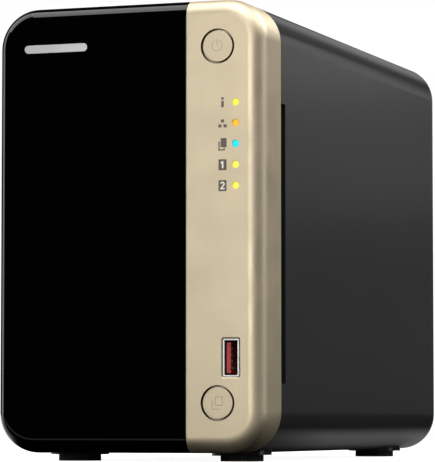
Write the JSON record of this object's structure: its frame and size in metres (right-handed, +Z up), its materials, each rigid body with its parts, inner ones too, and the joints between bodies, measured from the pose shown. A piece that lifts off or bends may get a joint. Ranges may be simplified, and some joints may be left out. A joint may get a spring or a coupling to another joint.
{
  "type": "nas enclosure",
  "caption": "Upright network storage box with a pull-off gloss cover over two drive trays, a gold control column and a matte case sleeve.",
  "frame": {"origin": "middle of the footprint, on the surface that the rubber feet stand on", "axes": "+X to the right seen from the front, +Y towards the rear, +Z up; the front faces -Y"},
  "size_m": [0.105, 0.2256, 0.1682],
  "materials": {
    "cover": "high gloss black",
    "badge": "satin silver",
    "column": "satin champagne metallic paint with a fine grain",
    "button": "satin champagne metallic paint",
    "light_yellow": "lit light pipe",
    "light_amber": "lit light pipe",
    "light_cyan": "lit light pipe",
    "usb_red": "moulded red plastic",
    "usb_blue": "moulded blue plastic",
    "case": "fine textured matte",
    "rubber": "matte",
    "steel": "zinc-plated sheet",
    "dark_steel": "black-zinc screws",
    "port_steel": "bright nickel-plated",
    "magnet": "nickel-plated magnet",
    "rear_paint": "textured black paint",
    "inner_plastic": "moulded matte",
    "tray_plastic": "moulded satin",
    "lever_plastic": "moulded satin",
    "clip_plastic": "moulded grey",
    "fan_plastic": "moulded matte",
    "board": "green solder mask",
    "chip": "epoxy package",
    "ribbon": "grey flat cable",
    "lead_sheath": "sleeved lead",
    "brass": "turned brass",
    "aluminium": "extruded, bead blasted",
    "reset_white": "moulded white"
  },
  "bodies": {
    "chassis": {"catch_plates": "steel", "front_frame": "inner_plastic", "control_column": "column", "status_light": "light_yellow", "network_light": "light_amber", "copy_light": "light_cyan", "disk_lights": "light_yellow", "light_holder": "inner_plastic", "front_usb_shell": "port_steel", "front_usb_tongue": "usb_red", "control_board": "board", "button_switches": "inner_plastic", "ribbon_cable": "ribbon", "case_sleeve": "case", "rubber_feet": "rubber", "panel_screws": "dark_steel", "base_plate": "steel", "drive_cage": "steel", "guide_rails": "inner_plastic", "backplane_board": "board", "sata_connectors": "inner_plastic", "board_link": "inner_plastic", "rear_panel": "rear_paint", "fan_guard": "rear_paint", "fan_frame": "fan_plastic", "fan_screws": "dark_steel", "fan_lead": "lead_sheath", "main_board": "board", "board_standoffs": "brass", "board_screws": "steel", "processor": "chip", "heat_sink": "aluminium", "memory_sockets": "inner_plastic", "memory_modules": "board", "board_chips": "chip", "coin_cell": "port_steel", "expansion_slot": "inner_plastic", "expansion_bracket": "port_steel", "network_jacks": "port_steel", "rear_usb_shells": "port_steel", "rear_usb_tongues": "usb_blue", "display_socket": "port_steel", "power_inlet": "inner_plastic"},
    "cover": {"front_cover": "cover", "cover_badge": "badge", "cover_magnets": "magnet"},
    "power_button": {"power_button": "button"},
    "copy_button": {"copy_button": "button"},
    "reset_button": {"reset_button": "reset_white"},
    "fan_rotor": {"fan_rotor": "fan_plastic"},
    "tray_1": {"tray_1_frame": "tray_plastic", "tray_1_front": "tray_plastic", "tray_1_pin": "port_steel", "tray_1_clips": "clip_plastic"},
    "tray_1_lever": {"tray_1_lever": "lever_plastic"},
    "tray_2": {"tray_2_frame": "tray_plastic", "tray_2_front": "tray_plastic", "tray_2_pin": "port_steel", "tray_2_clips": "clip_plastic"},
    "tray_2_lever": {"tray_2_lever": "lever_plastic"}
  },
  "joints": [
    {"name": "cover_pull", "type": "slide", "parent": "chassis", "child": "cover", "axis": [0, -1, 0], "range_m": [0, 0.24]},
    {"name": "tray_1_slide", "type": "slide", "parent": "chassis", "child": "tray_1", "axis": [0, -1, 0], "range_m": [0, 0.168]},
    {"name": "tray_1_lever_turn", "type": "hinge", "parent": "tray_1", "child": "tray_1_lever", "pos_m": [-0.0319, -0.1016, 0.053], "axis": [1, 0, 0], "range_deg": [0, 40]},
    {"name": "tray_2_slide", "type": "slide", "parent": "chassis", "child": "tray_2", "axis": [0, -1, 0], "range_m": [0, 0.168]},
    {"name": "tray_2_lever_turn", "type": "hinge", "parent": "tray_2", "child": "tray_2_lever", "pos_m": [0.003, -0.1016, 0.053], "axis": [1, 0, 0], "range_deg": [0, 40]},
    {"name": "power_button_press", "type": "slide", "parent": "chassis", "child": "power_button", "axis": [0, 1, 0], "range_m": [0, 0.001], "stiffness_N_per_m": 1500},
    {"name": "copy_button_press", "type": "slide", "parent": "chassis", "child": "copy_button", "axis": [0, 1, 0], "range_m": [0, 0.001], "stiffness_N_per_m": 1500},
    {"name": "reset_press", "type": "slide", "parent": "chassis", "child": "reset_button", "axis": [0, -1, 0], "range_m": [0, 0.0004], "stiffness_N_per_m": 2000},
    {"name": "fan_spin", "type": "hinge", "parent": "chassis", "child": "fan_rotor", "pos_m": [-0.012, 0.0955, 0.108], "axis": [0, 1, 0], "continuous": true}
  ],
  "couplings": [
    {"joint": "tray_1_slide", "follows": "cover_pull", "ratio": 0.7},
    {"joint": "tray_1_lever_turn", "follows": "cover_pull", "rad_per_m": 2.9},
    {"joint": "tray_2_slide", "follows": "cover_pull", "ratio": 0.7},
    {"joint": "tray_2_lever_turn", "follows": "cover_pull", "rad_per_m": 2.9}
  ]
}
